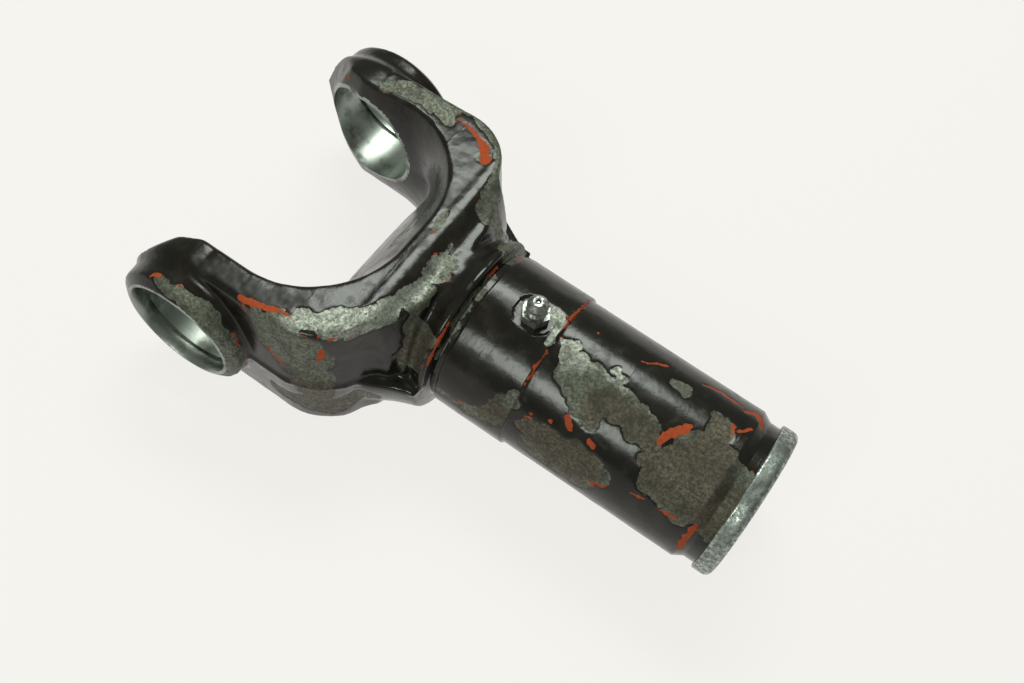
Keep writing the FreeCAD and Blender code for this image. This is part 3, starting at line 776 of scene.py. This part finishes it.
def painted_steel():
    """Black-brown gloss over orange primer over forged steel, uncovered by the wear fields."""
    n = Nodes("painted_steel")
    edge = n.math("SUBTRACT", n.noise(0.9, 4), 0.5)
    steel_depth = n.math("MULTIPLY_ADD", edge, 0.9, n.field("steel"))
    primer_depth = n.math("MULTIPLY_ADD", edge, 0.8, n.field("primer"))
    bare = n.ramp(steel_depth, -0.05, 0.05)
    orange = n.ramp(primer_depth, -0.06, 0.06)

    # paint
    dust = n.ramp(n.noise(6, 5), 0.4, 0.75)
    paint_colour = n.mix(dust, rgb(0.007, 0.0058, 0.0040), rgb(0.017, 0.0145, 0.0105))
    scratches = n.ramp(n.noise(1.4, 3, stretch=(1, 0.12, 0.12)), 0.60, 0.75)
    scuffs = n.ramp(n.noise(5, 4), 0.52, 0.72)
    paint_rough = n.math("MULTIPLY_ADD", scuffs, 0.16, 0.20)
    paint_rough = n.math("MULTIPLY_ADD", n.field("pitted"), 0.2, paint_rough)
    paint_bump = n.bump(n.noise(3.2, 3), 0.05)
    paint_bump = n.bump(n.noise(0.8, 3, stretch=(1, 0.25, 0.25)), 0.012, normal=paint_bump)
    paint_bump = n.bump(scratches, 0.02, normal=paint_bump)
    paint = n.shader(**{"Base Color": paint_colour, "Roughness": paint_rough, "Normal": paint_bump,
                        "Specular IOR Level": 0.3})

    # primer
    primer_colour = n.mix(n.noise(1.2, 4), rgb(0.20, 0.026, 0.008), rgb(0.42, 0.075, 0.018))
    primer = n.shader(**{"Base Color": primer_colour, "Roughness": 0.75, "Specular IOR Level": 0.2,
                         "Normal": n.bump(n.noise(0.6, 3), 0.04)})

    # forged steel with thin rust and grime; its clean patches are painted lighter, partly as a highlight
    # on upward faces, and its brown patches are partly painted shade
    mottle = n.ramp(n.noise(0.9, 6, roughness=0.72), 0.34, 0.68)
    # brown patches: rust, and on the fork's lower near arm also painted shade
    brown_and_shade_share = n.ramp(n.math("MULTIPLY_ADD", n.math("SUBTRACT", n.noise(4, 4), 0.5), 1.6,
                              n.field("brown")), 0.1, 0.9)
    dull = n.mix(mottle, rgb(0.050, 0.055, 0.040), rgb(0.155, 0.165, 0.125))
    rust_and_shade_colour = n.mix(mottle, rgb(0.040, 0.034, 0.024), rgb(0.110, 0.096, 0.066))
    # lighter steel for the clean patches, partly a painted highlight
    light = n.mix(mottle, rgb(0.15, 0.16, 0.135), rgb(0.33, 0.35, 0.30))
    colour = n.mix(brown_and_shade_share, dull, rust_and_shade_colour)
    clean_and_lit = n.ramp(n.math("MULTIPLY_ADD", n.math("SUBTRACT", n.noise(2, 4), 0.5), 1.2,
                          n.field("clean_and_lit")), 0.3, 0.8)
    colour = n.mix(clean_and_lit, colour, light)
    specks = n.ramp(n.noise(0.7, 3), 0.62, 0.70)
    colour = n.mix(specks, colour, rgb(0.03, 0.026, 0.02))
    stains = n.ramp(n.noise(5, 5, roughness=0.65), 0.46, 0.66, 0.0, 0.65)
    colour = n.mix(stains, colour, rgb(0.030, 0.028, 0.019))
    steel = n.shader(**{
        "Base Color": colour,
        "Metallic": n.math("MULTIPLY_ADD", clean_and_lit, 0.25, 0.55),
        "Roughness": n.ramp(mottle, 0, 1, 0.62, 0.46),
        "Normal": n.bump(n.noise(0.9, 5, roughness=0.7), 0.12),
    })

    surface = n.blend(bare, paint, steel)
    surface = n.blend(orange, surface, primer)
    return n.done(surface)


def machined_steel():
    """Bored and broached steel with fine turning lines and a thin film of old oil."""
    n = Nodes("machined_steel")
    lines = n.noise(0.35, 2, stretch=(0.04, 1, 0.04))
    stains = n.ramp(n.noise(7, 5), 0.45, 0.70)
    colour = n.mix(stains, rgb(0.30, 0.33, 0.30), rgb(0.11, 0.115, 0.095))
    rough = n.math("MULTIPLY_ADD", stains, 0.16, 0.34)
    return n.done(n.shader(**{"Base Color": colour, "Metallic": 1.0, "Roughness": rough,
                              "Normal": n.bump(lines, 0.015)}))


def plated_sheet():
    """Worn zinc on drawn sheet: bright, with dark mottling and stains."""
    n = Nodes("plated_sheet")
    mottle = n.ramp(n.noise(1.3, 6, roughness=0.72), 0.42, 0.62)
    stains = n.ramp(n.noise(6, 4), 0.40, 0.66)
    colour = n.mix(mottle, rgb(0.16, 0.18, 0.165), rgb(0.46, 0.51, 0.48))
    colour = n.mix(n.math("MULTIPLY", stains, 0.6), colour, rgb(0.13, 0.14, 0.12))
    return n.done(n.shader(**{"Base Color": colour, "Metallic": 0.9,
                              "Roughness": n.ramp(mottle, 0, 1, 0.5, 0.3),
                              "Normal": n.bump(n.noise(1.0, 5), 0.05)}))


def fitting_metal():
    """Old plating under a film of grease and paint dust."""
    n = Nodes("fitting_metal")
    grime = n.ramp(n.noise(1.2, 5), 0.42, 0.62)
    colour = n.mix(grime, rgb(0.27, 0.28, 0.26), rgb(0.10, 0.10, 0.088))
    return n.done(n.shader(**{"Base Color": colour, "Metallic": 0.75,
                              "Roughness": n.ramp(grime, 0, 1, 0.34, 0.6),
                              "Normal": n.bump(n.noise(0.7, 4), 0.05)}))


def rubber():
    n = Nodes("rubber")
    colour = n.mix(n.noise(3, 5), rgb(0.012, 0.012, 0.012), rgb(0.035, 0.034, 0.032))
    return n.done(n.shader(**{"Base Color": colour, "Roughness": 0.6,
                              "Normal": n.bump(n.noise(0.5, 3), 0.03)}))


def spring_wire():
    n = Nodes("spring_wire")
    colour = n.mix(n.noise(0.6, 4), rgb(0.55, 0.55, 0.53), rgb(0.35, 0.34, 0.31))
    return n.done(n.shader(**{"Base Color": colour, "Metallic": 1.0, "Roughness": 0.25}))


def dress(node, material):
    """Puts a material on a CAD node that stays as it is."""
    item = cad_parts[node]
    if not item.material_slots:
        item.data.materials.append(material)
    for slot in item.material_slots:
        slot.link = "OBJECT"
        slot.material = material


# ---------------------------------------------------------------- stage


# in metres: half the floor's side, and its distance under the part
FLOOR_REACH = 3.0
FLOOR_GAP = 0.0002
# share of the floor that is plain colour to the camera; the rest takes the shadow
FLOOR_GLOW = 0.9


def make_floor():
    height = cad_box[0].z - FLOOR_GAP
    signs = ((-1, -1), (1, -1), (1, 1), (-1, 1))
    corners = [(x * FLOOR_REACH, y * FLOOR_REACH, height) for x, y in signs]
    floor = object_of("floor", mesh_of("floor", corners, [(0, 1, 2, 3)]))
    n = Nodes("floor")
    white = rgb(0.905, 0.890, 0.855)
    rays = n.add("ShaderNodeLightPath").outputs
    seen = n.math("MAXIMUM", rays["Is Camera Ray"], rays["Is Glossy Ray"])
    seen = n.math("MAXIMUM", seen, rays["Is Transmission Ray"])
    matt = n.add("ShaderNodeBsdfDiffuse", {"Color": white}).outputs[0]
    glow = n.add("ShaderNodeEmission", {"Color": white, "Strength": 1.0}).outputs[0]
    floor.data.materials.append(n.done(n.blend(n.math("MULTIPLY", seen, FLOOR_GLOW), matt, glow)))


# the studio light is a little green
LIGHT_TINT = (0.94, 1.0, 0.92)


def aim(item, target):
    direction = Vector(target - np.array(item.location))
    item.rotation_mode = "QUATERNION"
    item.rotation_quaternion = direction.to_track_quat("-Z", "Y")


# the middle of the part, in metres
LAMP_TARGET = (0.07, 0, 0)


def make_lamp(name, azimuth, elevation, distance, size, power):
    """A soft square lamp that looks at the middle of the part. Azimuth is from +x to +y."""
    a, e = math.radians(azimuth), math.radians(elevation)
    target = np.array(LAMP_TARGET)
    data = bpy.data.lights.new(name, "AREA")
    data.shape = "RECTANGLE"
    data.size, data.size_y = size
    data.energy = power
    data.color = LIGHT_TINT
    lamp = bpy.data.objects.new(name, data)
    bpy.context.scene.collection.objects.link(lamp)
    toward = np.array([math.cos(e) * math.cos(a), math.cos(e) * math.sin(a), math.sin(e)])
    lamp.location = target + distance * toward
    aim(lamp, target)


def make_world(strength):
    world = bpy.data.worlds.new("studio")
    world.use_nodes = True
    background = world.node_tree.nodes["Background"]
    background.inputs["Color"].default_value = rgb(*LIGHT_TINT)
    background.inputs["Strength"].default_value = strength
    bpy.context.scene.world = world


# the camera's place in metres, its lens in millimetres, and its own axes
CAMERA_PLACE = (0.14782, -0.16032, 0.32460)
CAMERA_LENS = 42.16
CAMERA_RIGHT = (0.8214, 0.5592, 0.1120)
CAMERA_UP = (-0.5415, 0.7031, 0.4608)
CAMERA_BACK = (0.1790, -0.4392, 0.8804)


def make_camera():
    data = bpy.data.cameras.new("camera")
    data.lens = CAMERA_LENS
    data.sensor_width = 36.0
    data.clip_start, data.clip_end = 0.01, 20
    camera = bpy.data.objects.new("camera", data)
    bpy.context.scene.collection.objects.link(camera)
    turn = Matrix((CAMERA_RIGHT, CAMERA_UP, CAMERA_BACK)).transposed().to_4x4()
    camera.matrix_world = Matrix.Translation(CAMERA_PLACE) @ turn
    bpy.context.scene.camera = camera


make_camera()
make_floor()
make_world(0.28)
make_lamp("back_box", 118, 57, 0.9, (0.55, 0.26), 6.5)
make_lamp("near_box", -96, 42, 0.9, (0.24, 0.30), 3.0)
bpy.context.scene.view_settings.view_transform = "Standard"

COATED = painted_steel()
MACHINED = machined_steel()
make_fork(COATED, MACHINED)
make_sleeve(COATED, MACHINED)
make_cap(plated_sheet())
dress("grease_fitting", fitting_metal())
dress("seal_ring", rubber())
dress("fitting_ball", spring_wire())
dress("fitting_spring", spring_wire())
